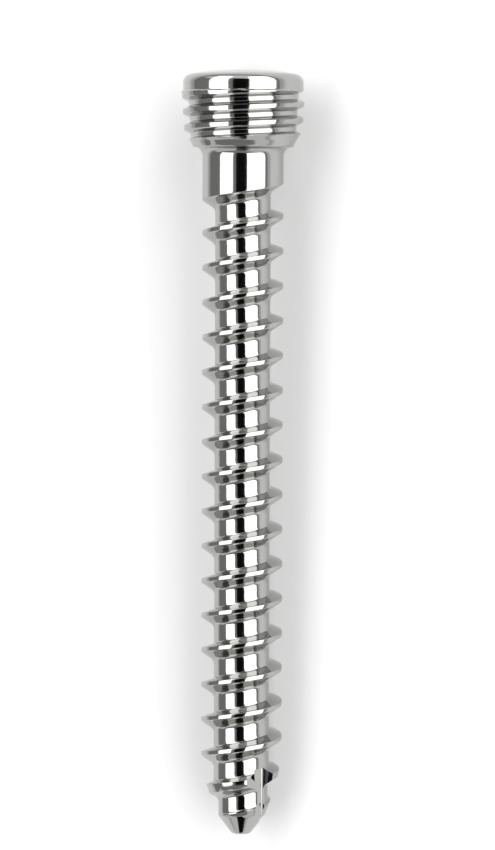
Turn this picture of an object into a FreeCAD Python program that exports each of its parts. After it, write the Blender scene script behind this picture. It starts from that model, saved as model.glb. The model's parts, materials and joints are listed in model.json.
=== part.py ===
"""Locking cortical screw, turned from one bar of steel.

The screw is built upright about its own axis, with the top of its head at height 0 and the tip below. It
is then laid down as it rests on a table, with the head towards +Y. A depth is counted from the top of the
head towards the tip, and an azimuth from the screw's own +X, anticlockwise as seen from the head.
"""

import FreeCAD, Part
import math
import os
import re
import Sketcher
from FreeCAD import Placement, Rotation, Vector

NODE = "screw"

# Driving sizes in millimetres and degrees.
SIZES = {
    "overall_length": 33.1,
    # Crown: the smooth band round the top of the head, under a shallow dome.
    "crown_radius": 2.60,
    "crown_height": 0.95,
    "crown_chamfer": 0.30,
    "dome_rise": 0.20,
    # Conical locking thread on the head. A flank angle is counted from the plane across the axis.
    "head_crest_radius": 2.67,
    "head_cone_angle": 4.0,
    "head_thread_depth": 0.27,
    "head_pitch": 0.69,
    "head_crest_width": 0.19,
    "head_flank_angle": 30.0,
    "head_groove_start": 1.17,
    "head_chamfer_angle": 33.0,
    # Shoulder under the thread, and the underside that leads into the neck.
    "shoulder_radius": 2.30,
    "shoulder_length": 0.31,
    "shoulder_chamfer": 0.12,
    "head_height": 3.38,
    "neck_cone_width": 0.32,
    "neck_cone_length": 0.32,
    "neck_radius": 1.75,
    # Coarse bone thread. The load flank looks at the head and the rear flank at the tip.
    "core_radius": 1.195,
    "pitch": 1.5,
    "crest_width": 0.17,
    "load_flank_angle": 18.0,
    "rear_flank_angle": 34.0,
    "neck_end": 4.90,
    "core_taper_angle": 10.0,
    "core_taper_length": 2.4,
    # Azimuth where both grooves reach full depth, behind the screw, and the turns of their run-outs above.
    "run_out_azimuth": 60.0,
    "run_out_turns": 0.25,
    "head_run_out_turns": 0.25,
    # Tip: a slight cone, a steeper one from the bend on, and a rounded end. Lengths count from the end.
    "tip_length": 3.52,
    "tip_bend_length": 2.3,
    "tip_bend_radius": 1.56,
    "tip_round": 0.75,
    # Self-tapping flutes beside the tip.
    "flute_count": 2,
    "flute_azimuth": -32.5,
    "flute_floor_radius": 1.05,
    "flute_end": 30.35,
    "flute_end_angle": 16.0,
    # Hexagon socket for the driver, broached over a drilled bore.
    "socket_across_flats": 2.5,
    "socket_depth": 1.7,
    "socket_bore_radius": 1.23,
    "socket_point_angle": 30.0,
    # How far a cutter reaches past the surface that it cuts.
    "overcut": 0.10,
    # How far the screw has rolled to the side where it lies still, from lying on its +Y side.
    "rest_roll": 17.0,
}

# Sizes that follow from the driving ones, as formulas of the sheet.
DERIVED = {
    "shoulder_step": "shoulder_radius - neck_radius",
    "neck_cone_radius": "neck_radius + min(neck_cone_width; 0.7 * shoulder_step)",
    "neck_cone_end": "head_height + neck_cone_length",
    "underside_chamfer": "min(shoulder_chamfer; 0.28 * shoulder_step)",
    "shoulder_top": "head_height - shoulder_length",
    "cone_slope": "tan(head_cone_angle * 1 deg)",
    "chamfer_slope": "tan(head_chamfer_angle * 1 deg)",
    "chamfer_length": "(head_crest_radius - cone_slope * (shoulder_top - crown_height) - shoulder_radius)"
    " / (chamfer_slope - cone_slope)",
    "chamfer_top": "shoulder_top - chamfer_length",
    "chamfer_radius": "shoulder_radius + chamfer_slope * chamfer_length",
    "tip_start": "overall_length - tip_length",
    "tip_bend": "overall_length - tip_bend_length",
    "socket_corner_radius": "socket_across_flats / 2 / cos(30 deg)",
    "socket_lead_in": "socket_corner_radius - socket_bore_radius",
    "socket_point": "socket_bore_radius * tan(socket_point_angle * 1 deg)",
    "flank_height": "neck_radius - core_radius",
    "rear_slope": "tan(rear_flank_angle * 1 deg)",
    "load_slope": "tan(load_flank_angle * 1 deg)",
    "core_width": "pitch - crest_width - flank_height * (rear_slope + load_slope)",
    "groove_top": "neck_end - pitch * run_out_azimuth / 360",
    "groove_bottom": "groove_top + pitch - crest_width",
    "shaft_turns": "floor((overall_length - core_taper_length - neck_end) / pitch)",
    "taper_turns": "(core_taper_length + pitch) / pitch",
    "run_out_angle": "atan((flank_height + overcut) / (pitch * run_out_turns)) / 1 deg",
    "head_slope": "tan(head_flank_angle * 1 deg)",
    "head_root_width": "head_pitch - head_crest_width - 2 * head_thread_depth * head_slope",
    "head_groove_middle": "head_groove_start - head_pitch * run_out_azimuth / 360",
    "head_turns": "(head_height - head_groove_middle) / head_pitch",
    "head_run_out_angle": "atan((head_thread_depth + overcut) / (head_pitch * head_run_out_turns)) / 1 deg",
    "first_crest_below": "neck_end - pitch * (90 - rest_roll) / 360",
    "last_crest_below": "first_crest_below + pitch * floor((tip_start - first_crest_below) / pitch)",
    "rest_tilt": "atan((head_crest_radius - neck_radius) / (last_crest_below - crown_height)) / 1 deg",
}


def make_sheet(doc):
    """Put every size in a sheet, under its own name."""
    sheet = doc.addObject("Spreadsheet::Sheet", "Sizes")
    cells = [(name, str(value)) for name, value in SIZES.items()]
    cells += [(name, "=" + formula) for name, formula in DERIVED.items()]
    for row, (name, text) in enumerate(cells, start=1):
        sheet.set(f"A{row}", name)
        sheet.set(f"B{row}", text)
        sheet.setAlias(f"B{row}", name)
    doc.recompute()
    return sheet


def bound(formula):
    """The formula as another object reads it, with the sheet's name before each size."""
    return re.sub(r"\b([a-z]+(?:_[a-z]+)+|pitch|overcut)\b", r"Sizes.\1", formula)


def origin_part(body, role):
    """The body's own origin plane or axis of this role."""
    return next(part for part in body.Origin.OriginFeatures if part.Role == role)


class Outline:
    """An outline in a plane through the axis, whose sizes are bound to the sheet.

    A corner is a pair of formulas: its radius and its depth. Constraints name the sketch's own origin and
    upright axis by the numbers below.
    """

    ORIGIN = (-1, 1)
    AXIS = (-2,)

    def __init__(self, body, name, azimuth="0"):
        self.sketch = body.newObject("Sketcher::SketchObject", name)
        self.sketch.AttachmentSupport = [(origin_part(body, "XZ_Plane"), "")]
        self.sketch.MapMode = "FlatFace"
        self.sketch.AttachmentOffset = Placement(Vector(), Rotation(Vector(0, 1, 0), 0))
        self.sketch.setExpression("AttachmentOffset.Rotation.Angle", bound(azimuth))

    def value(self, formula):
        """The number that a formula gives now."""
        number = self.sketch.evalExpression(bound(formula))
        return float(getattr(number, "Value", number))

    def rule(self, kind, *where):
        """Add a constraint that has no size."""
        self.sketch.addConstraint(Sketcher.Constraint(kind, *where))

    def size(self, kind, *where, to):
        """Add a constraint whose size follows a formula."""
        row = self.sketch.addConstraint(Sketcher.Constraint(kind, *where, self.value(to)))
        self.sketch.setExpression(f"Constraints[{row}]", bound(to))

    def place(self, edge, end, corner):
        """Tie one end of an edge to a corner."""
        radius, depth = corner
        self.size("DistanceX", *self.ORIGIN, edge, end, to=radius)
        self.size("DistanceY", edge, end, *self.ORIGIN, to=depth)

    def line(self, start, end):
        """A straight edge between two points of the sketch."""
        return self.sketch.addGeometry(Part.LineSegment(start, end))

    def chain(self, corners):
        """Straight edges from corner to corner, each corner in its place."""
        points = [Vector(self.value(radius), -self.value(depth), 0) for radius, depth in corners]
        edges = [self.line(start, end) for start, end in zip(points, points[1:])]
        for before, after in zip(edges, edges[1:]):
            self.rule("Coincident", before, 2, after, 1)
        for edge, corner in zip(edges, corners):
            self.place(edge, 1, corner)
        return edges

    def polygon(self, corners):
        """A closed outline of straight edges."""
        edges = self.chain(corners + corners[:1])
        self.rule("Coincident", edges[-1], 2, edges[0], 1)
        return edges

    def free_edge(self, edge, corner):
        """A further edge from a corner, whose other end is still free."""
        start = self.point_of(edge, 2)
        further = self.line(start, start * 2 - self.point_of(edge, 1))
        self.rule("Coincident", edge, 2, further, 1)
        self.place(further, 1, corner)
        return further

    def dome(self, edge):
        """Close an edge at its start with an arc up to the origin, centred on the axis."""
        corner = self.point_of(edge, 1)
        radius = (corner.x**2 + corner.y**2) / (-2 * corner.y)
        lean = math.acos(corner.x / radius)
        arc = self.arc(Vector(0, -radius, 0), radius, lean, math.pi / 2)
        self.rule("Coincident", arc, 1, edge, 1)
        self.rule("Coincident", arc, 2, *self.ORIGIN)
        self.rule("PointOnObject", arc, 3, *self.AXIS)
        return arc, 2

    def nose(self, edge, radius, depth):
        """Close an edge at its end with a tangent arc down to a depth, centred on the axis."""
        small = self.value(radius)
        centre = Vector(0, small - self.value(depth), 0)
        reach = self.point_of(edge, 1) - centre
        lean = math.atan2(reach.y, reach.x) - math.acos(small / reach.Length)
        arc = self.arc(centre, small, -math.pi / 2, lean)
        self.rule("Tangent", edge, 2, arc, 2)
        self.rule("PointOnObject", arc, 3, *self.AXIS)
        self.size("Radius", arc, to=radius)
        self.place(arc, 1, ("0", depth))
        return arc, 1

    def point_of(self, edge, end):
        """Where an end of an edge lies now."""
        return self.sketch.getPoint(edge, end)

    def arc(self, centre, radius, start, end):
        """An arc between two angles, in radians from the sketch's X."""
        circle = Part.Circle(centre, Vector(0, 0, 1), radius)
        return self.sketch.addGeometry(Part.ArcOfCircle(circle, start, end))


def add_blank(body):
    """The turned blank: crown, thread cone, shoulder, neck, shaft and tip in one revolution."""
    outline = Outline(body, "BlankOutline")
    edges = outline.chain(
        [
            ("crown_radius - crown_chamfer", "dome_rise"),
            ("crown_radius", "dome_rise + crown_chamfer"),
            ("crown_radius", "crown_height"),
            ("head_crest_radius", "crown_height"),
            ("chamfer_radius", "chamfer_top"),
            ("shoulder_radius", "shoulder_top"),
            ("shoulder_radius", "head_height - underside_chamfer"),
            ("shoulder_radius - underside_chamfer", "head_height"),
            ("neck_cone_radius", "head_height"),
            ("neck_radius", "neck_cone_end"),
            ("neck_radius", "tip_start"),
            ("tip_bend_radius", "tip_bend"),
        ]
    )
    top = outline.dome(edges[0])
    cone = outline.free_edge(edges[-1], ("tip_bend_radius", "tip_bend"))
    bottom = outline.nose(cone, "tip_round", "overall_length")
    middle = outline.line(outline.point_of(*bottom), outline.point_of(*top))
    outline.rule("Coincident", middle, 1, *bottom)
    outline.rule("Coincident", middle, 2, *top)
    blank = body.newObject("PartDesign::Revolution", "Blank")
    blank.Profile = outline.sketch
    blank.ReferenceAxis = (outline.sketch, ["V_Axis"])
    blank.Angle = 360
    return blank


def add_socket(body):
    """The drilled bore with its lead-in, then the hexagon broached over it."""
    outline = Outline(body, "SocketBoreOutline")
    outline.polygon(
        [
            ("0", "-overcut"),
            ("socket_corner_radius + overcut", "-overcut"),
            ("socket_bore_radius", "socket_lead_in"),
            ("socket_bore_radius", "socket_depth"),
            ("0", "socket_depth + socket_point"),
        ]
    )
    bore = body.newObject("PartDesign::Groove", "SocketBore")
    bore.Profile = outline.sketch
    bore.ReferenceAxis = (outline.sketch, ["V_Axis"])
    bore.Angle = 360
    hexagon = body.newObject("PartDesign::SubtractivePrism", "Socket")
    hexagon.AttachmentSupport = [(origin_part(body, "XY_Plane"), "")]
    hexagon.MapMode = "FlatFace"
    hexagon.Polygon = 6
    hexagon.setExpression("Circumradius", bound("socket_corner_radius"))
    hexagon.setExpression("Height", bound("socket_depth + overcut"))
    hexagon.setExpression("AttachmentOffset.Base.z", bound("-socket_depth"))


def add_helix(body, name, outline, pitch, turns, angle, up=False):
    """Cut a right-hand helical groove, which starts at its outline and winds down or up."""
    groove = body.newObject("PartDesign::SubtractiveHelix", name)
    groove.Profile = outline.sketch
    groove.ReferenceAxis = (outline.sketch, ["V_Axis"])
    groove.Mode = "pitch-turns-angle"
    groove.Reversed = not up
    groove.setExpression("Pitch", bound(pitch))
    groove.setExpression("Turns", bound(turns))
    groove.setExpression("Angle", bound(angle))
    return groove


def shaft_groove_outline(body, name, drop):
    """The groove between two ridges of the bone thread, lowered by some depth."""
    outline = Outline(body, name, azimuth="run_out_azimuth")
    top = f"groove_top + {drop}"
    bottom = f"groove_bottom + {drop}"
    mouth = "neck_radius + overcut"
    outline.polygon(
        [
            (mouth, f"{top} - overcut * rear_slope"),
            ("core_radius", f"{top} + flank_height * rear_slope"),
            ("core_radius", f"{bottom} - flank_height * load_slope"),
            (mouth, f"{bottom} + overcut * load_slope"),
        ]
    )
    return outline


def add_shaft_thread(body):
    """The bone thread: its run-out under the neck, the long straight part and the taper at the tip."""
    outline = shaft_groove_outline(body, "GrooveOutline", "0")
    add_helix(body, "GrooveRunOut", outline, "pitch", "run_out_turns", "run_out_angle", up=True)
    add_helix(body, "Groove", outline, "pitch", "shaft_turns", "0")
    taper = shaft_groove_outline(body, "TaperOutline", "pitch * shaft_turns")
    add_helix(body, "GrooveTaper", taper, "pitch", "taper_turns", "-core_taper_angle")


def add_head_thread(body):
    """The fine locking thread on the head's cone, which starts in the crown's lower edge."""
    outline = Outline(body, "HeadGrooveOutline", azimuth="run_out_azimuth")
    middle = "head_groove_middle"
    root = f"head_crest_radius - head_thread_depth - cone_slope * ({middle} - crown_height)"
    mouth = f"{root} + head_thread_depth + overcut"
    half_root = "head_root_width / 2"
    half_mouth = f"({half_root} + (head_thread_depth + overcut) * head_slope)"
    outline.polygon(
        [
            (mouth, f"{middle} - {half_mouth}"),
            (root, f"{middle} - {half_root}"),
            (root, f"{middle} + {half_root}"),
            (mouth, f"{middle} + {half_mouth}"),
        ]
    )
    run_out = ("head_run_out_turns", "head_run_out_angle")
    add_helix(body, "HeadGrooveRunOut", outline, "head_pitch", *run_out, up=True)
    add_helix(body, "HeadGroove", outline, "head_pitch", "head_turns", "-head_cone_angle")


def add_flutes(body):
    """Flutes beside the tip, each with its cutting face in a plane through the axis."""
    outline = Outline(body, "FluteOutline", azimuth="flute_azimuth")
    mouth = "neck_radius + overcut"
    end_rise = "(neck_radius + overcut - flute_floor_radius) * tan(flute_end_angle * 1 deg)"
    outline.polygon(
        [
            ("flute_floor_radius", "flute_end"),
            (mouth, f"flute_end - {end_rise}"),
            (mouth, "overall_length"),
            ("flute_floor_radius", "overall_length"),
        ]
    )
    flute = body.newObject("PartDesign::Pocket", "Flute")
    flute.Profile = outline.sketch
    flute.Reversed = True
    flute.setExpression("Length", bound("neck_radius + overcut"))
    flutes = body.newObject("PartDesign::PolarPattern", "Flutes")
    flutes.Originals = [flute]
    flutes.Axis = (outline.sketch, ["V_Axis"])
    flutes.Angle = 360
    flutes.setExpression("Occurrences", bound("flute_count"))
    return flutes


def lay_down(body, sheet):
    """Rest the screw on the head thread and on the last full crest below, centred over the origin."""
    turn = Rotation(Vector(1, 0, 0), -90 + sheet.rest_tilt) * Rotation(Vector(0, 0, 1), sheet.rest_roll)
    body.Placement = Placement(Vector(), turn)
    box = body.Shape.optimalBoundingBox(False, False)
    body.Placement = Placement(Vector(-box.Center.x, -box.Center.y, -box.ZMin), turn)


def check(doc, body):
    """Stop if any object failed or the solid isn't a single valid one."""
    for item in doc.Objects:
        if {"Invalid", "Error"} & set(item.State):
            raise RuntimeError(f"{item.Name} failed: {item.State}")
    shape = body.Shape
    if shape.isNull() or not shape.isValid() or len(shape.Solids) != 1:
        raise RuntimeError(f"{body.Label} is not one valid solid")


def main():
    """Build the screw, check it and write its file."""
    doc = FreeCAD.newDocument("LockingCorticalScrew")
    sheet = make_sheet(doc)
    body = doc.addObject("PartDesign::Body", "Screw")
    body.Label = NODE
    add_blank(body)
    add_socket(body)
    add_head_thread(body)
    add_shaft_thread(body)
    body.Tip = add_flutes(body)
    doc.recompute()
    check(doc, body)
    lay_down(body, sheet)
    doc.recompute()
    check(doc, body)
    os.makedirs("parts", exist_ok=True)
    body.Shape.exportStep(f"parts/{body.Label}.step")
    print(f"{body.Label}: {body.Shape.Volume:.3f} cubic mm, {len(body.Shape.Faces)} faces")


main()
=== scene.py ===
"""Locking cortical screw: the finished look of the part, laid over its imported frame.

Lengths are in millimetres while a piece is modelled and in metres in the scene. A depth is counted
from the top of the head towards the tip. An azimuth is counted about the screw's own axis,
anticlockwise as seen from the head, so that the camera stands at -90 degrees and the screw's
right-hand side is at 0.
"""

import json
import logging
import math
from dataclasses import dataclass
from enum import Enum
from typing import Callable

import bmesh
import bpy
from mathutils import Matrix, Vector

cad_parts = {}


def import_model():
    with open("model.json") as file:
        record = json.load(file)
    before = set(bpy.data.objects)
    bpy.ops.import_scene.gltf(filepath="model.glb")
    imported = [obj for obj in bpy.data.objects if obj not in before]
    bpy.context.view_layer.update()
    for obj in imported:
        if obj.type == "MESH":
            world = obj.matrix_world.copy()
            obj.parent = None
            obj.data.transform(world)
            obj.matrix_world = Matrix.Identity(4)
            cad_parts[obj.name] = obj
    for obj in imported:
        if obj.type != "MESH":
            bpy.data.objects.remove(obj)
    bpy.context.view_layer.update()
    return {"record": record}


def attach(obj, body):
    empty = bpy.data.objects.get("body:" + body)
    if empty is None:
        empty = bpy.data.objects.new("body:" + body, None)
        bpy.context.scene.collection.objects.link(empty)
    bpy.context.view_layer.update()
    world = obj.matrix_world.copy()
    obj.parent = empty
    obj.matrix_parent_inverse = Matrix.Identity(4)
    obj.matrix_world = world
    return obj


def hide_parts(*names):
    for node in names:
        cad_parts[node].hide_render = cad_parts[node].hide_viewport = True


LOG = logging.getLogger("locking_screw")

AROUND = 128
"""Points round the screw in every ring and every turn of thread."""

MERGE = 1e-3
"""Points nearer to each other than this, in millimetres, are one point."""

REST_ROLL = 17.0
"""How far the screw has rolled about its own axis where it lies still, in degrees."""

MILLIMETRE = 0.001
"""One millimetre, in the scene's metres."""

OVERCUT = 0.1
"""How far a groove's floor rises past the crests over its run-out, in millimetres."""

CIRCULAR = 0.5
"""Profile of a bevel that is an arc of a circle."""

HEXAGON_HALF_SIDE = 30.0
"""Half the angle that one side of a hexagon spans about its middle, in degrees."""

Rule = Callable[[float, float, float], tuple[float, float]]
"""Gives a new radius and depth from an azimuth in degrees, a radius and a depth."""


class Cut(Enum):
    """The ways in which a profile is swept round the axis."""

    RING = "ring"
    RIGHT_HAND = "right_hand"


def smooth_min(first: float, second: float, reach: float) -> float:
    """Lower of two lengths, with the corner between them rounded.

    Args:
        first: one length.
        second: the other length.
        reach: difference below which the two blend.

    Returns:
        The blended length, never above either.
    """
    near = max(reach - abs(first - second), 0.0) / reach
    return min(first, second) - near * near * reach / 4


@dataclass(frozen=True)
class Corner:
    """A corner of a turned profile, rounded by the tool that cut it."""

    radius: float
    depth: float
    fillet: float = 0.0
    steps: int = 3


@dataclass
class Profile:
    """A turned profile: corners from the head towards the tip."""

    corners: list[Corner]
    longest: float = 10.0

    def lay(self) -> bmesh.types.BMesh:
        """Lay the profile down as a wire at azimuth 0, with its corners rounded.

        Returns:
            A mesh that holds only the wire.
        """
        wire = bmesh.new()
        points = [wire.verts.new((c.radius, 0, -c.depth)) for c in self.corners]
        for start, end in zip(points, points[1:]):
            wire.edges.new((start, end))
        for corner, point in list(zip(self.corners, points)):
            if corner.fillet:
                self.round_corner(wire, point, corner)
        long = [edge for edge in wire.edges if edge.calc_length() > self.longest]
        for edge in long:
            cuts = math.ceil(edge.calc_length() / self.longest) - 1
            bmesh.ops.subdivide_edges(wire, edges=[edge], cuts=cuts)
        return wire

    def round_corner(self, wire: bmesh.types.BMesh, point: bmesh.types.BMVert, corner: Corner) -> None:
        """Replace one corner of the wire by an arc that is tangent to both of its edges.

        Args:
            wire: the wire.
            point: the corner's point.
            corner: the corner's fillet radius and number of steps.
        """
        before, after = [edge.other_vert(point).co - point.co for edge in point.link_edges]
        setback = corner.fillet / math.tan(before.angle(after) / 2)
        bmesh.ops.bevel(
            wire,
            geom=[point],
            offset=setback,
            offset_type="OFFSET",
            segments=corner.steps,
            profile=CIRCULAR,
            affect="VERTICES",
            material=-1,
            clamp_overlap=False,
        )

    def sweep(self, cut: Cut, turns: int = 1, pitch: float = 0.0) -> bmesh.types.BMesh:
        """Sweep the profile round the axis, as a ring or as a right-hand thread.

        Args:
            cut: ring or thread.
            turns: whole turns of a thread.
            pitch: how far a thread goes down in one turn.

        Returns:
            The swept surface.
        """
        swept = self.lay()
        bmesh.ops.spin(
            swept,
            geom=swept.verts[:] + swept.edges[:],
            cent=(0, 0, 0),
            axis=(0, 0, 1),
            dvec=(0, 0, -pitch / AROUND),
            angle=-2 * math.pi,
            steps=AROUND,
            use_merge=cut is Cut.RING,
            use_duplicate=False,
        )
        one_turn = bpy.data.meshes.new("one_turn")
        swept.to_mesh(one_turn)
        for _ in range(1, turns):
            one_turn.transform(Matrix.Translation((0, 0, -pitch)))
            swept.from_mesh(one_turn)
        bpy.data.meshes.remove(one_turn)
        bmesh.ops.remove_doubles(swept, verts=swept.verts, dist=MERGE)
        return swept


def shape(surface: bmesh.types.BMesh, rule: Rule) -> None:
    """Move each point of a swept surface in its own plane through the axis.

    Args:
        surface: the surface.
        rule: says where each point goes.
    """
    for vert in surface.verts:
        x, y, z = vert.co
        radius, depth = rule(math.degrees(math.atan2(y, x)), math.hypot(x, y), -z)
        stretch = radius / math.hypot(x, y)
        vert.co = (x * stretch, y * stretch, -depth)
    bmesh.ops.remove_doubles(surface, verts=surface.verts, dist=MERGE)
    bmesh.ops.dissolve_degenerate(surface, edges=surface.edges, dist=MERGE)


def set_radius(vert: bmesh.types.BMVert, radius: float) -> None:
    """Move a point straight towards or away from the axis, to a radius."""
    flat = Vector((vert.co.x, vert.co.y, 0)).normalized()
    vert.co = flat * radius + Vector((0, 0, vert.co.z))


def round_edges(
    cutter: bmesh.types.BMesh, edges: list[bmesh.types.BMEdge], radius: float, steps: int
) -> None:
    """Round some edges of a cutter.

    Args:
        cutter: the cutter.
        edges: the edges.
        radius: how far the rounding reaches from each edge.
        steps: facets across the rounding.
    """
    bmesh.ops.bevel(
        cutter,
        geom=edges,
        offset=radius,
        offset_type="OFFSET",
        segments=steps,
        profile=CIRCULAR,
        affect="EDGES",
        material=-1,
    )


def open_edges(surface: bmesh.types.BMesh) -> int:
    """Count the edges that don't have a face on both sides."""
    return sum(1 for edge in surface.edges if not edge.is_manifold)


def join(pieces: list[bmesh.types.BMesh]) -> bmesh.types.BMesh:
    """Join surfaces that meet in shared rings into one, with every face turned outwards.

    Args:
        pieces: the surfaces, which are used up.

    Returns:
        One surface.
    """
    whole = bmesh.new()
    carrier = bpy.data.meshes.new("carrier")
    for piece in pieces:
        piece.to_mesh(carrier)
        piece.free()
        whole.from_mesh(carrier)
        carrier.clear_geometry()
    bpy.data.meshes.remove(carrier)
    bmesh.ops.remove_doubles(whole, verts=whole.verts, dist=MERGE)
    bmesh.ops.recalc_face_normals(whole, faces=whole.faces)
    return whole


@dataclass(frozen=True)
class Helix:
    """The path of a right-hand groove that runs out above a full-depth start behind the screw."""

    pitch: float
    start: float
    run_out_azimuth: float
    run_out_turns: float

    def turn(self, azimuth: float, depth: float) -> float:
        """Turns from the groove's full-depth start to the groove at a point.

        Args:
            azimuth: the point's azimuth in degrees.
            depth: the point's depth.

        Returns:
            Turns along the groove, below 0 in the run-out.
        """
        at_azimuth = self.start - self.pitch * azimuth / 360
        whole = round((depth - at_azimuth) / self.pitch)
        return whole + (self.run_out_azimuth - azimuth) / 360

    def lift(self, azimuth: float, depth: float, full: float) -> float:
        """How far the groove's floor has risen at a point of its run-out.

        Args:
            azimuth: the point's azimuth in degrees.
            depth: the point's depth.
            full: how far it rises over the whole run-out.

        Returns:
            The rise, 0 where the groove has its full depth.
        """
        return max(-self.turn(azimuth, depth), 0.0) / self.run_out_turns * full


@dataclass
class Head:
    """Crown, conical locking thread, shoulder, and the fillet that leads into the neck."""

    crown_radius: float = 2.60
    crown_height: float = 0.95
    dome_radius: float = 12.0
    crown_round: float = 0.38
    crest_radius: float = 2.67
    cone_angle: float = 4.0
    thread_depth: float = 0.27
    pitch: float = 0.69
    crest_width: float = 0.19
    flank_angle: float = 30.0
    groove_start: float = 1.17
    run_out_azimuth: float = 10.0
    run_out_turns: float = 0.25
    chamfer_angle: float = 33.0
    shoulder_radius: float = 2.30
    shoulder_length: float = 0.31
    shoulder_angle: float = 26.0
    shoulder_round: float = 0.12
    height: float = 3.38
    neck_fillet: float = 0.40
    neck_radius: float = 1.75
    thread_top: float = 0.72
    # How far the dome stops short of the crown's edge, as a share of the edge's rounding.
    dome_setback: float = 1.1
    # The slope from the crown's band out to the first crest: how steep it is, how far above the
    # band's foot it begins, and how far below it the band's radius is held.
    lead_slope: float = 1.4
    lead_drop: float = 0.02
    lead_overlap: float = 0.05
    # How softly the thread's corners blend.
    root_round: float = 0.05
    crest_blend: float = 0.035
    chamfer_blend: float = 0.03
    shoulder_round_share: float = 0.98
    # Turns that are swept, and how many of them begin above the first full groove.
    turns: int = 7
    turns_above: float = 2.5
    # How finely each part is modelled.
    dome_rings: int = 9
    crown_steps: int = 8
    crown_facet: float = 0.3
    root_steps: int = 3
    thread_facet: float = 0.06
    shoulder_steps: int = 5
    neck_steps: int = 10
    neck_facet: float = 0.2

    def dome_depth(self, radius: float) -> float:
        """Depth of the domed top at a radius."""
        return self.dome_radius - math.sqrt(self.dome_radius**2 - radius**2)

    def crown(self) -> bmesh.types.BMesh:
        """Turn the domed top, its rounded edge and the band above the thread.

        Returns:
            The crown, open below.
        """
        flat = self.crown_radius - self.crown_round * self.dome_setback
        radii = [flat * ring / self.dome_rings for ring in range(self.dome_rings + 1)]
        dome = [Corner(radius, self.dome_depth(radius)) for radius in radii]
        edge_depth = self.dome_depth(self.crown_radius)
        edge = Corner(self.crown_radius, edge_depth, self.crown_round, self.crown_steps)
        band = Corner(self.crown_radius, self.thread_top)
        return Profile([*dome, edge, band], longest=self.crown_facet).sweep(Cut.RING)

    def outside(self, depth: float) -> float:
        """Radius of the turned head before its thread is cut.

        Args:
            depth: depth below the top.

        Returns:
            The radius there.
        """
        narrowing = math.tan(math.radians(self.cone_angle))
        crest = self.crest_radius - narrowing * (depth - self.crown_height)
        lead = self.crown_radius + (depth - self.crown_height + self.lead_drop) * self.lead_slope
        above = self.height - self.shoulder_length - depth
        slope = self.chamfer_angle if above > 0 else self.shoulder_angle
        chamfer = self.shoulder_radius + math.tan(math.radians(slope)) * above
        lowest = min(smooth_min(crest, chamfer, self.chamfer_blend), lead)
        if depth < self.crown_height + self.lead_overlap:
            return max(self.crown_radius, lowest)
        return lowest

    def thread(self) -> bmesh.types.BMesh:
        """Cut the fine locking thread into the cone.

        Returns:
            The threaded cone, from the crown's band down to the shoulder.
        """
        helix = Helix(self.pitch, self.groove_start, self.run_out_azimuth, self.run_out_turns)
        slope = math.tan(math.radians(self.flank_angle))
        floor = self.crest_radius - self.thread_depth
        half_root = (self.pitch - self.crest_width) / 2 - self.thread_depth * slope
        over = floor + (self.pitch / 2 - half_root) / slope
        top = self.groove_start - self.pitch * self.turns_above
        half = self.pitch / 2
        groove = Profile(
            [
                Corner(over, top),
                Corner(floor, top + half - half_root, self.root_round, self.root_steps),
                Corner(floor, top + half + half_root, self.root_round, self.root_steps),
                Corner(over, top + self.pitch),
            ],
            longest=self.thread_facet,
        )
        surface = groove.sweep(Cut.RIGHT_HAND, turns=self.turns, pitch=self.pitch)
        bottom = self.height - self.shoulder_round

        def rule(azimuth: float, radius: float, depth: float) -> tuple[float, float]:
            cone = math.tan(math.radians(self.cone_angle)) * (depth - self.crown_height)
            cut = radius - cone + helix.lift(azimuth, depth, self.thread_depth + OVERCUT)
            held = min(max(depth, self.thread_top), bottom)
            return smooth_min(cut, self.outside(held), self.crest_blend), held

        shape(surface, rule)
        for vert in surface.verts:
            if -vert.co.z < self.thread_top + MERGE or -vert.co.z > bottom - MERGE:
                above = -vert.co.z < self.crown_height
                set_radius(vert, self.crown_radius if above else self.outside(bottom))
        return surface

    def underside(self, end: float) -> bmesh.types.BMesh:
        """Turn the shoulder's lower edge, the fillet under it and the smooth neck.

        Args:
            end: depth at which the neck ends.

        Returns:
            The underside, open at both ends.
        """
        bottom = self.height - self.shoulder_round
        rounding = self.shoulder_round * self.shoulder_round_share
        return Profile(
            [
                Corner(self.outside(bottom), bottom),
                Corner(self.outside(self.height), self.height, rounding, self.shoulder_steps),
                Corner(self.neck_radius, self.height, self.neck_fillet, self.neck_steps),
                Corner(self.neck_radius, end),
            ],
            longest=self.neck_facet,
        ).sweep(Cut.RING)


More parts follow.
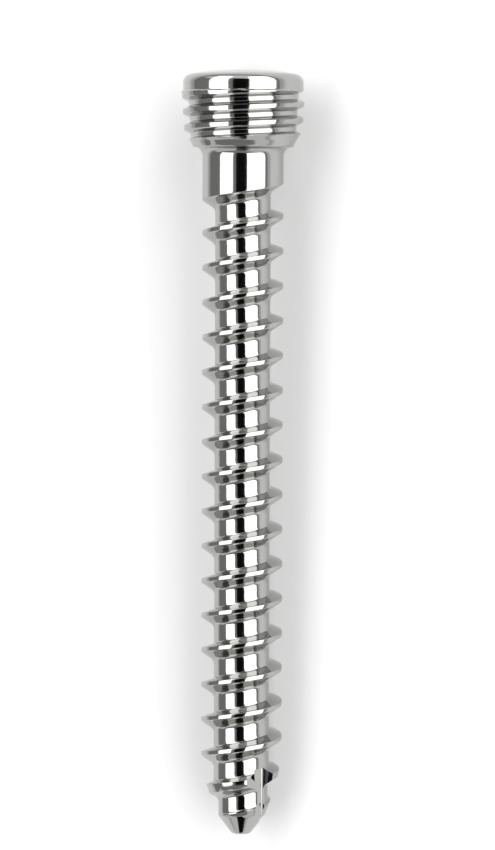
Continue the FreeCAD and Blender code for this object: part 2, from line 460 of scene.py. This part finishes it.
@dataclass
class Tip:
    """The outside of the tip, and the self-tapping flutes beside it."""

    length: float = 33.1
    crest_radius: float = 1.75
    start: float = 29.58
    bend: float = 30.8
    bend_radius: float = 1.56
    steep_slope: float = 0.37
    point_depth: float = 32.2
    point_radius: float = 1.04
    point_slope: float = 0.76
    end_radius: float = 0.40
    end_round: float = 0.22
    cap_depth: float = 32.7
    flute_count: int = 2
    flute_azimuth: float = -32.5
    flute_floor: float = 1.05
    flute_end: float = 30.15
    flute_end_angle: float = 16.0
    flute_corner: float = 0.06
    # How softly the cones of the tip blend.
    bend_blend: float = 0.05
    point_blend: float = 0.02
    # How far a flute's cutter reaches past the crests and past the end.
    cutter_reach: float = 0.4
    cutter_overrun: float = 0.5
    # How finely each part is modelled.
    end_steps: int = 6
    cap_facet: float = 0.08
    flute_corner_steps: int = 4

    def outside(self, depth: float) -> float:
        """Radius of the turned tip before its thread and flutes are cut.

        Args:
            depth: depth below the top of the head.

        Returns:
            The radius there.
        """
        narrowing = (self.crest_radius - self.bend_radius) / (self.bend - self.start)
        slight = self.crest_radius - narrowing * (depth - self.start)
        steep = self.bend_radius - self.steep_slope * (depth - self.bend)
        point = self.point_radius - self.point_slope * (depth - self.point_depth)
        return smooth_min(smooth_min(slight, steep, self.bend_blend), point, self.point_blend)

    def cap(self) -> bmesh.types.BMesh:
        """Turn the blunt end of the tip.

        Returns:
            The cap, open towards the shaft.
        """
        end_depth = self.point_depth + (self.point_radius - self.end_radius) / self.point_slope
        return Profile(
            [
                Corner(self.outside(self.cap_depth), self.cap_depth),
                Corner(self.end_radius, end_depth, self.end_round, self.end_steps),
                Corner(0, self.length),
            ],
            longest=self.cap_facet,
        ).sweep(Cut.RING)

    def flute_cutters(self) -> bmesh.types.BMesh:
        """Shape the cutters of the flutes, each with one face in a plane through the axis.

        Returns:
            The cutters.
        """
        reach = self.crest_radius + self.cutter_reach
        rise = (reach - self.flute_floor) * math.tan(math.radians(self.flute_end_angle))
        bottom = -self.length - self.cutter_overrun
        cutter = bmesh.new()
        face = [
            (self.flute_floor, 0, -self.flute_end),
            (reach, 0, rise - self.flute_end),
            (reach, 0, bottom),
            (self.flute_floor, 0, bottom),
        ]
        side = cutter.faces.new([cutter.verts.new(corner) for corner in face])
        swept = bmesh.ops.extrude_face_region(cutter, geom=[side])
        moved = [item for item in swept["geom"] if isinstance(item, bmesh.types.BMVert)]
        bmesh.ops.translate(cutter, verts=moved, vec=(0, -reach, 0))
        inner = [
            edge
            for edge in cutter.edges
            if all(abs(v.co.y) < MERGE and v.co.x < self.flute_floor + MERGE for v in edge.verts)
        ]
        round_edges(cutter, inner, self.flute_corner, self.flute_corner_steps)
        bmesh.ops.recalc_face_normals(cutter, faces=cutter.faces)
        turn = Matrix.Rotation(math.radians(self.flute_azimuth), 3, "Z")
        bmesh.ops.rotate(cutter, verts=cutter.verts, matrix=turn)
        first = cutter.verts[:] + cutter.edges[:] + cutter.faces[:]
        for number in range(1, self.flute_count):
            bmesh.ops.spin(
                cutter,
                geom=first,
                cent=(0, 0, 0),
                axis=(0, 0, 1),
                angle=2 * math.pi * number / self.flute_count,
                steps=1,
                use_duplicate=True,
            )
        return cutter


@dataclass
class Shaft:
    """The coarse bone thread from the neck to the tip."""

    tip: Tip
    crest_radius: float = 1.75
    core_radius: float = 1.195
    pitch: float = 1.5
    crest_width: float = 0.17
    crest_round: float = 0.035
    load_flank_angle: float = 18.0
    load_fillet: float = 0.06
    rear_flank_angle: float = 34.0
    rear_fillet: float = 0.30
    neck_end: float = 4.90
    run_out_azimuth: float = 60.0
    run_out_turns: float = 0.25
    thread_top: float = 4.2
    taper_start: float = 30.15
    taper_angle: float = 12.0
    # How softly the thread blends into the tip, and from how far above the tip on.
    tip_blend: float = 0.02
    tip_blend_above: float = 1.0
    # How finely each part is modelled.
    crest_steps: int = 3
    load_steps: int = 3
    rear_steps: int = 9
    thread_facet: float = 0.14

    def thread(self) -> bmesh.types.BMesh:
        """Cut the bone thread, which runs out under the neck and tapers into the tip.

        Returns:
            The threaded shaft, from the neck down to the cap.
        """
        deep = self.crest_radius - self.core_radius
        rear = deep * math.tan(math.radians(self.rear_flank_angle))
        load = deep * math.tan(math.radians(self.load_flank_angle))
        half = self.crest_width / 2
        middle = self.neck_end - half + self.pitch / 2
        helix = Helix(self.pitch, middle, self.run_out_azimuth, self.run_out_turns)
        top = self.neck_end - half - self.pitch * 2
        bottom = top + self.pitch
        groove = Profile(
            [
                Corner(self.crest_radius, top),
                Corner(self.crest_radius, top + half, self.crest_round, self.crest_steps),
                Corner(self.core_radius, top + half + rear, self.rear_fillet, self.rear_steps),
                Corner(self.core_radius, bottom - half - load, self.load_fillet, self.load_steps),
                Corner(self.crest_radius, bottom - half, self.crest_round, self.crest_steps),
                Corner(self.crest_radius, bottom),
            ],
            longest=self.thread_facet,
        )
        turns = math.ceil((self.tip.length - top) / self.pitch) + 1
        surface = groove.sweep(Cut.RIGHT_HAND, turns=turns, pitch=self.pitch)
        taper = math.tan(math.radians(self.taper_angle)) * self.pitch
        taper_turn = helix.turn(self.run_out_azimuth, self.taper_start + self.pitch / 2)

        def rule(azimuth: float, radius: float, depth: float) -> tuple[float, float]:
            held = min(max(depth, self.thread_top), self.tip.cap_depth)
            share = (self.crest_radius - radius) / deep
            deeper = max(helix.turn(azimuth, depth) - taper_turn, 0.0) * taper
            lift = helix.lift(azimuth, depth, deep + OVERCUT)
            cut = min(radius - share * deeper + lift, self.crest_radius)
            if depth < self.tip.start - self.tip_blend_above:
                return cut, held
            return smooth_min(cut, self.tip.outside(held), self.tip_blend), held

        shape(surface, rule)
        for vert in surface.verts:
            if -vert.co.z > self.tip.cap_depth - MERGE:
                set_radius(vert, self.tip.outside(self.tip.cap_depth))
        return surface


@dataclass
class Socket:
    """The hexagon socket for the driver, broached over a drilled bore."""

    across_flats: float = 2.5
    depth: float = 1.7
    bore_radius: float = 1.23
    bore_further: float = 0.06
    lead_in: float = 0.11
    point_angle: float = 30.0
    above: float = 0.5
    corner_round: float = 0.05
    corner_steps: int = 3

    @property
    def corner_radius(self) -> float:
        """Radius of the circle through the hexagon's corners."""
        return self.across_flats / 2 / math.cos(math.radians(HEXAGON_HALF_SIDE))

    def hexagon_cutter(self) -> bmesh.types.BMesh:
        """Shape the broach: a hexagonal bar with softly broken edges.

        Returns:
            The broach.
        """
        broach = bmesh.new()
        bmesh.ops.create_cone(
            broach,
            cap_ends=True,
            segments=6,
            radius1=self.corner_radius,
            radius2=self.corner_radius,
            depth=self.depth + self.above,
        )
        turn = Matrix.Rotation(math.radians(HEXAGON_HALF_SIDE), 3, "Z")
        bmesh.ops.rotate(broach, verts=broach.verts, matrix=turn)
        bmesh.ops.translate(broach, verts=broach.verts, vec=(0, 0, (self.above - self.depth) / 2))
        upright = [
            edge for edge in broach.edges if abs(edge.verts[0].co.z - edge.verts[1].co.z) > MERGE
        ]
        round_edges(broach, upright, self.corner_round, self.corner_steps)
        return broach

    def bore_cutter(self) -> bmesh.types.BMesh:
        """Turn the drill, with the lead-in that breaks the socket's rim.

        Returns:
            The drill.
        """
        lead = self.corner_radius - self.bore_radius
        rim = self.corner_radius + self.lead_in
        bottom = self.depth + self.bore_further
        point = self.bore_radius * math.tan(math.radians(self.point_angle))
        drill = Profile(
            [
                Corner(0, -self.above),
                Corner(rim + self.above, -self.above),
                Corner(rim, 0.0),
                Corner(self.bore_radius, lead + self.lead_in),
                Corner(self.bore_radius, bottom),
                Corner(0, bottom + point),
            ]
        ).sweep(Cut.RING)
        bmesh.ops.recalc_face_normals(drill, faces=drill.faces)
        return drill


@dataclass(frozen=True)
class PolishedSteel:
    """Bright implant steel, tumbled smooth over the fine marks of turning."""

    colour: tuple[float, float, float] = (0.41, 0.41, 0.40)
    roughness: float = 0.085
    mark_height: float = 0.0000022
    # Grains per metre across and along the axis, and octaves, of the turning marks and of the haze.
    mark_density: tuple[float, float, float] = (1200, 1200, 8000)
    mark_detail: float = 3.0
    haze_density: tuple[float, float, float] = (900, 900, 500)
    haze_detail: float = 4.0
    # What the haze makes of the colour at its dullest, and of the roughness at each end.
    dull_share: float = 0.93
    smooth_share: float = 0.75
    rough_share: float = 1.35

    def material(self, axis: Matrix) -> bpy.types.Material:
        """Mix the steel's surface from its base, its turning marks and its faint haze.

        Args:
            axis: from the screw's own millimetres to the scene.

        Returns:
            The material.
        """
        steel = bpy.data.materials.new("polished_steel")
        steel.use_nodes = True
        nodes, links = steel.node_tree.nodes, steel.node_tree.links
        shader = nodes["Principled BSDF"]
        shader.inputs["Metallic"].default_value = 1.0
        place = nodes.new("ShaderNodeTexCoord")
        along = nodes.new("ShaderNodeMapping")
        along.vector_type = "POINT"
        along.inputs["Rotation"].default_value = axis.inverted().to_euler()
        links.new(place.outputs["Object"], along.inputs["Vector"])
        marks = self.noise(nodes, links, along, self.mark_density, self.mark_detail)
        haze = self.noise(nodes, links, along, self.haze_density, self.haze_detail)
        tone = nodes.new("ShaderNodeMix")
        tone.data_type = "RGBA"
        tone.inputs["A"].default_value = (*[c * self.dull_share for c in self.colour], 1)
        tone.inputs["B"].default_value = (*self.colour, 1)
        links.new(haze.outputs["Fac"], tone.inputs["Factor"])
        links.new(tone.outputs["Result"], shader.inputs["Base Color"])
        polish = nodes.new("ShaderNodeMapRange")
        polish.inputs["To Min"].default_value = self.roughness * self.smooth_share
        polish.inputs["To Max"].default_value = self.roughness * self.rough_share
        links.new(haze.outputs["Fac"], polish.inputs["Value"])
        links.new(polish.outputs["Result"], shader.inputs["Roughness"])
        relief = nodes.new("ShaderNodeBump")
        relief.inputs["Strength"].default_value = 1.0
        relief.inputs["Distance"].default_value = self.mark_height
        links.new(marks.outputs["Fac"], relief.inputs["Height"])
        links.new(relief.outputs["Normal"], shader.inputs["Normal"])
        return steel

    def noise(
        self,
        nodes: bpy.types.Nodes,
        links: bpy.types.NodeLinks,
        along: bpy.types.Node,
        density: tuple[float, float, float],
        detail: float,
    ) -> bpy.types.Node:
        """Add a noise that is stretched round the screw.

        Args:
            nodes: the material's nodes.
            links: the material's links.
            along: the mapping that turns the axis upright.
            density: grains per metre across and along the axis.
            detail: octaves of the noise.

        Returns:
            The noise's node.
        """
        spread = nodes.new("ShaderNodeMapping")
        spread.inputs["Scale"].default_value = density
        grain = nodes.new("ShaderNodeTexNoise")
        grain.inputs["Scale"].default_value = 1.0
        grain.inputs["Detail"].default_value = detail
        links.new(along.outputs["Vector"], spread.inputs["Vector"])
        links.new(spread.outputs["Vector"], grain.inputs["Vector"])
        return grain


@dataclass(frozen=True)
class Matt:
    """A matt sheet of one colour."""

    grey: float
    roughness: float = 0.9
    gloss: float = 0.1

    def material(self, name: str) -> bpy.types.Material:
        """Mix the sheet's surface.

        Args:
            name: the material's name.

        Returns:
            The material.
        """
        sheet = bpy.data.materials.new(name)
        sheet.use_nodes = True
        shader = sheet.node_tree.nodes["Principled BSDF"]
        shader.inputs["Base Color"].default_value = (self.grey, self.grey, self.grey, 1)
        shader.inputs["Roughness"].default_value = self.roughness
        shader.inputs["Specular IOR Level"].default_value = self.gloss
        return sheet


@dataclass(frozen=True)
class PaintedPoolTable:
    """A matt table with a painted pool of light: its colour is painted pale round the screw and
    painted dimmer beyond it, where light would fall off.
    """

    # Painted pool of light: the pale grey near the screw, the painted dimmer grey beyond, and the
    # distances over which one is painted into the other.
    painted_pool_grey: float = 0.71
    painted_dim_grey: float = 0.40
    near: float = 0.0105
    far: float = 0.034
    length_share: float = 0.35

    def material(self, name: str) -> bpy.types.Material:
        """Mix the table's surface, with the pool of light painted into its colour.

        Args:
            name: the material's name.

        Returns:
            The material.
        """
        table = Matt(self.painted_pool_grey).material(name)
        nodes, links = table.node_tree.nodes, table.node_tree.links
        place = nodes.new("ShaderNodeTexCoord")
        oval = nodes.new("ShaderNodeMapping")
        oval.inputs["Scale"].default_value = (1, self.length_share, 1)
        reach = nodes.new("ShaderNodeVectorMath")
        reach.operation = "LENGTH"
        # Painted falloff of light: the colour is painted darker with distance from the screw, in place
        # of light that falls off.
        painted_falloff = nodes.new("ShaderNodeMapRange")
        painted_falloff.interpolation_type = "SMOOTHSTEP"
        painted_falloff.inputs["From Min"].default_value = self.near
        painted_falloff.inputs["From Max"].default_value = self.far
        painted_falloff.inputs["To Min"].default_value = self.painted_pool_grey
        painted_falloff.inputs["To Max"].default_value = self.painted_dim_grey
        links.new(place.outputs["Object"], oval.inputs["Vector"])
        links.new(oval.outputs["Vector"], reach.inputs[0])
        links.new(reach.outputs["Value"], painted_falloff.inputs["Value"])
        links.new(painted_falloff.outputs["Result"], nodes["Principled BSDF"].inputs["Base Color"])
        return table


@dataclass
class Screw:
    """The whole screw in one piece."""

    head: Head
    shaft: Shaft
    tip: Tip
    socket: Socket
    finish: PolishedSteel
    sharp_angle: float = 34.0

    def build(self, axis: Matrix) -> bpy.types.Object:
        """Model the screw, cut its socket and flutes, lay it down and give it its finish.

        Args:
            axis: from the screw's own millimetres to the scene.

        Returns:
            The finished piece.
        """
        blank = join(
            [
                self.head.crown(),
                self.head.thread(),
                self.head.underside(self.shaft.thread_top),
                self.shaft.thread(),
                self.tip.cap(),
            ]
        )
        LOG.info("blank: %d faces, %d open edges", len(blank.faces), open_edges(blank))
        piece = self.object_of(blank, "screw_steel")
        cutters = [self.tip.flute_cutters(), self.socket.bore_cutter(), self.socket.hexagon_cutter()]
        for number, cutter in enumerate(cutters):
            self.cut(piece, self.object_of(cutter, f"cutter_{number}"))
        piece.data.transform(axis)
        piece.data.shade_smooth()
        piece.data.set_sharp_from_angle(angle=math.radians(self.sharp_angle))
        piece.data.materials.append(self.finish.material(axis))
        surface = bmesh.new()
        surface.from_mesh(piece.data)
        count = open_edges(surface)
        surface.free()
        LOG.info("%s: %d faces, %d open edges", piece.name, len(piece.data.polygons), count)
        return piece

    def object_of(self, surface: bmesh.types.BMesh, name: str) -> bpy.types.Object:
        """Put a surface in the scene.

        Args:
            surface: the surface, which is used up.
            name: the object's name.

        Returns:
            The object.
        """
        mesh = bpy.data.meshes.new(name)
        surface.to_mesh(mesh)
        surface.free()
        piece = bpy.data.objects.new(name, mesh)
        bpy.context.scene.collection.objects.link(piece)
        return piece

    def cut(self, piece: bpy.types.Object, cutter: bpy.types.Object) -> None:
        """Cut one solid out of the piece for good.

        Args:
            piece: the piece.
            cutter: the solid, which is used up.
        """
        modifier = piece.modifiers.new("cut", "BOOLEAN")
        modifier.operation = "DIFFERENCE"
        modifier.solver = "EXACT"
        modifier.object = cutter
        graph = bpy.context.evaluated_depsgraph_get()
        mesh = bpy.data.meshes.new_from_object(piece.evaluated_get(graph))
        piece.modifiers.clear()
        piece.data = mesh
        mesh.name = piece.name
        bpy.data.objects.remove(cutter)


def hang_light(name: str, width: float, length: float, radiance: float) -> bpy.types.Object:
    """Hang a soft rectangular light, which shines down until it is turned.

    Args:
        name: the light's name.
        width: its size along its own X.
        length: its size along its own Y.
        radiance: how bright its face is.

    Returns:
        The light.
    """
    light = bpy.data.lights.new(name, "AREA")
    light.shape = "RECTANGLE"
    light.size = width
    light.size_y = length
    light.energy = radiance * math.pi * width * length
    lamp = bpy.data.objects.new(light.name, light)
    bpy.context.scene.collection.objects.link(lamp)
    return lamp


class Side(Enum):
    """Where a soft box stands, as seen by the camera."""

    LEFT = -1
    RIGHT = 1


@dataclass
class SoftBox:
    """A large soft light beside the camera, stretched along the screw."""

    side: Side
    inner_angle: float
    outer_angle: float
    distance: float = 0.6
    towards_tip: float = 0.45
    towards_head: float = 1.1
    radiance: float = 2.9

    def build(self, roll: float) -> None:
        """Hang the light so that it fills its angles about the screw.

        Args:
            roll: angle from straight up to the camera, towards +X.
        """
        middle = math.radians((self.inner_angle + self.outer_angle) / 2 * self.side.value + roll)
        spread = math.radians((self.outer_angle - self.inner_angle) / 2)
        width = 2 * self.distance * math.tan(spread)
        length = self.towards_tip + self.towards_head
        lamp = hang_light(f"soft_box_{self.side.name.lower()}", width, length, self.radiance)
        lamp.rotation_euler = (0, middle, 0)
        lamp.location = (
            math.sin(middle) * self.distance,
            (self.towards_head - self.towards_tip) / 2,
            math.cos(middle) * self.distance,
        )


@dataclass
class EndBox:
    """A dim soft light beyond one end of the screw, for the slopes that look that way."""

    name: str
    away: float
    low: float
    high: float
    radiance: float
    width: float = 3.0

    def build(self) -> None:
        """Stand the light up, facing the screw."""
        lamp = hang_light(self.name, self.width, self.high - self.low, self.radiance)
        lamp.rotation_euler = (-math.copysign(math.pi / 2, self.away), 0, 0)
        lamp.location = (0, self.away, (self.high + self.low) / 2)


def unit_square() -> bmesh.types.BMesh:
    """Lay a flat square with sides of 1 in the middle of the floor.

    Returns:
        The square.
    """
    surface = bmesh.new()
    bmesh.ops.create_grid(surface, x_segments=1, y_segments=1, size=0.5)
    return surface


@dataclass
class Studio:
    """The floor, the light and the camera of the photograph."""

    soft_boxes: list[SoftBox]
    end_boxes: list[EndBox]
    floor_painted_pool: PaintedPoolTable
    card_finish: Matt
    screw_roll: float
    floor_side: float = 4.0
    card_height: float = 0.7
    card_angles: tuple[float, float] = (-20.0, 11.5)
    card_along: tuple[float, float] = (-0.53, 0.45)
    tip_card_across: tuple[float, float] = (-0.16, 0.26)
    tip_card_upright: tuple[float, float] = (0.0, 0.5)
    tip_card_away: float = 1.1
    surroundings: float = 0.33
    image: tuple[int, int] = (495, 850)
    focal_pixels: float = 4318.0
    distance: float = 186.0
    foot_depth: float = 5.45
    pitch: float = 3.04
    aside: float = 0.225
    roll: float = 0.19
    sensor: float = 36.0
    nearest: float = 0.01
    furthest: float = 20.0

    def build(self, axis: Matrix) -> None:
        """Set up floor, light and camera.

        Args:
            axis: from the screw's own millimetres to the scene.
        """
        half = self.floor_side / 2
        # The floor's colour holds a painted pool of light: pale round the screw, painted dimmer
        # further out.
        self.lay_sheet("floor", self.floor_painted_pool, (-half, half), (-half, half), 0.0)
        angles = [math.radians(angle + self.screw_roll) for angle in self.card_angles]
        left, right = [self.card_height * math.tan(angle) for angle in angles]
        across = (left, right)
        self.lay_sheet("black_card", self.card_finish, across, self.card_along, self.card_height)
        self.stand_card("tip_card")
        for box in self.soft_boxes:
            box.build(self.screw_roll)
        for end_box in self.end_boxes:
            end_box.build()
        self.dim_room()
        self.set_camera(axis)

    def lay_sheet(
        self,
        name: str,
        finish: Matt | PaintedPoolTable,
        across: tuple[float, float],
        along: tuple[float, float],
        height: float,
    ) -> None:
        """Lay a flat sheet that isn't part of the screw.

        Args:
            name: the sheet's name.
            finish: its finish, which on the floor holds a painted pool of light.
            across: where it begins and ends across the screw.
            along: where it begins and ends along the screw.
            height: its height above the floor.
        """
        surface = unit_square()
        size = (across[1] - across[0], along[1] - along[0], 1)
        bmesh.ops.scale(surface, verts=surface.verts, vec=size)
        middle = (sum(across) / 2, sum(along) / 2, height)
        bmesh.ops.translate(surface, verts=surface.verts, vec=middle)
        self.show(surface, name, finish)

    def stand_card(self, name: str) -> None:
        """Stand a black card beyond the tip, where the tip's cone reflects it.

        Args:
            name: the card's name.
        """
        across, upright = self.tip_card_across, self.tip_card_upright
        surface = unit_square()
        bmesh.ops.rotate(surface, verts=surface.verts, matrix=Matrix.Rotation(math.pi / 2, 3, "X"))
        size = (across[1] - across[0], 1, upright[1] - upright[0])
        bmesh.ops.scale(surface, verts=surface.verts, vec=size)
        middle = (sum(across) / 2, -self.tip_card_away, sum(upright) / 2)
        bmesh.ops.translate(surface, verts=surface.verts, vec=middle)
        self.show(surface, name, self.card_finish)

    def show(self, surface: bmesh.types.BMesh, name: str, finish: Matt | PaintedPoolTable) -> None:
        """Put a sheet of the studio in the scene.

        Args:
            surface: the sheet's surface, which is used up.
            name: the sheet's name.
            finish: its finish, which on the floor holds a painted pool of light.
        """
        mesh = bpy.data.meshes.new(name)
        surface.to_mesh(mesh)
        surface.free()
        mesh.materials.append(finish.material(name))
        sheet = bpy.data.objects.new(name, mesh)
        bpy.context.scene.collection.objects.link(sheet)

    def dim_room(self) -> None:
        """Leave the room round the lights dim."""
        world = bpy.data.worlds.new("room")
        world.use_nodes = True
        background = world.node_tree.nodes["Background"]
        background.inputs["Color"].default_value = (*[self.surroundings] * 3, 1)
        bpy.context.scene.world = world
        bpy.context.scene.view_settings.view_transform = "Standard"

    def set_camera(self, axis: Matrix) -> None:
        """Stand the camera over the screw, square to its axis at the foot of the view.

        Args:
            axis: from the screw's own millimetres to the scene.
        """
        camera = bpy.data.cameras.new("camera")
        camera.sensor_width = self.sensor
        camera.lens = self.focal_pixels * self.sensor / max(self.image)
        camera.clip_start = self.nearest
        camera.clip_end = self.furthest
        eye = bpy.data.objects.new("camera", camera)
        own = Matrix.Translation((self.aside, -self.distance, -self.foot_depth))
        upright = Matrix.Rotation(math.radians(90 - self.pitch), 4, "X")
        turned = upright @ Matrix.Rotation(math.radians(self.roll), 4, "Z")
        place = axis @ own @ turned
        eye.matrix_world = Matrix.LocRotScale(place.to_translation(), place.to_quaternion(), None)
        bpy.context.scene.collection.objects.link(eye)
        bpy.context.scene.camera = eye


def resting_axis(record: dict, roll: float) -> Matrix:
    """Where the screw's own axis lies, read from the driver's mount in the record.

    Args:
        record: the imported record.
        roll: how far the screw has rolled about its own axis, in degrees.

    Returns:
        From the screw's own millimetres, its axis upright, to the scene's metres.
    """
    mount = next(item for item in record["mounts"] if item["name"] == "drive_socket")
    up = Vector(mount["axis"]).normalized()
    lean = math.atan2(up.z, up.y)
    turn = Matrix.Rotation(lean - math.pi / 2, 4, "X") @ Matrix.Rotation(math.radians(roll), 4, "Z")
    return Matrix.Translation(mount["pos_m"]) @ turn @ Matrix.Scale(MILLIMETRE, 4)


def main() -> None:
    """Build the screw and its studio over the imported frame."""
    logging.basicConfig(level=logging.INFO, format="%(name)s: %(message)s")
    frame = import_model()
    axis = resting_axis(frame["record"], REST_ROLL)
    tip = Tip()
    screw = Screw(Head(), Shaft(tip), tip, Socket(), PolishedSteel())
    piece = screw.build(axis)
    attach(piece, "root")
    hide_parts("screw")
    boxes = [
        SoftBox(Side.LEFT, inner_angle=29, outer_angle=68),
        SoftBox(Side.RIGHT, inner_angle=11.5, outer_angle=65),
    ]
    ends = [
        EndBox("tip_box", away=-1.2, low=0.0, high=0.62, radiance=0.7),
        EndBox("head_box", away=1.2, low=0.25, high=1.5, radiance=0.8),
    ]
    black = Matt(grey=0.002)
    Studio(boxes, ends, PaintedPoolTable(), card_finish=black, screw_roll=REST_ROLL).build(axis)


if __name__ == "__main__":
    main()
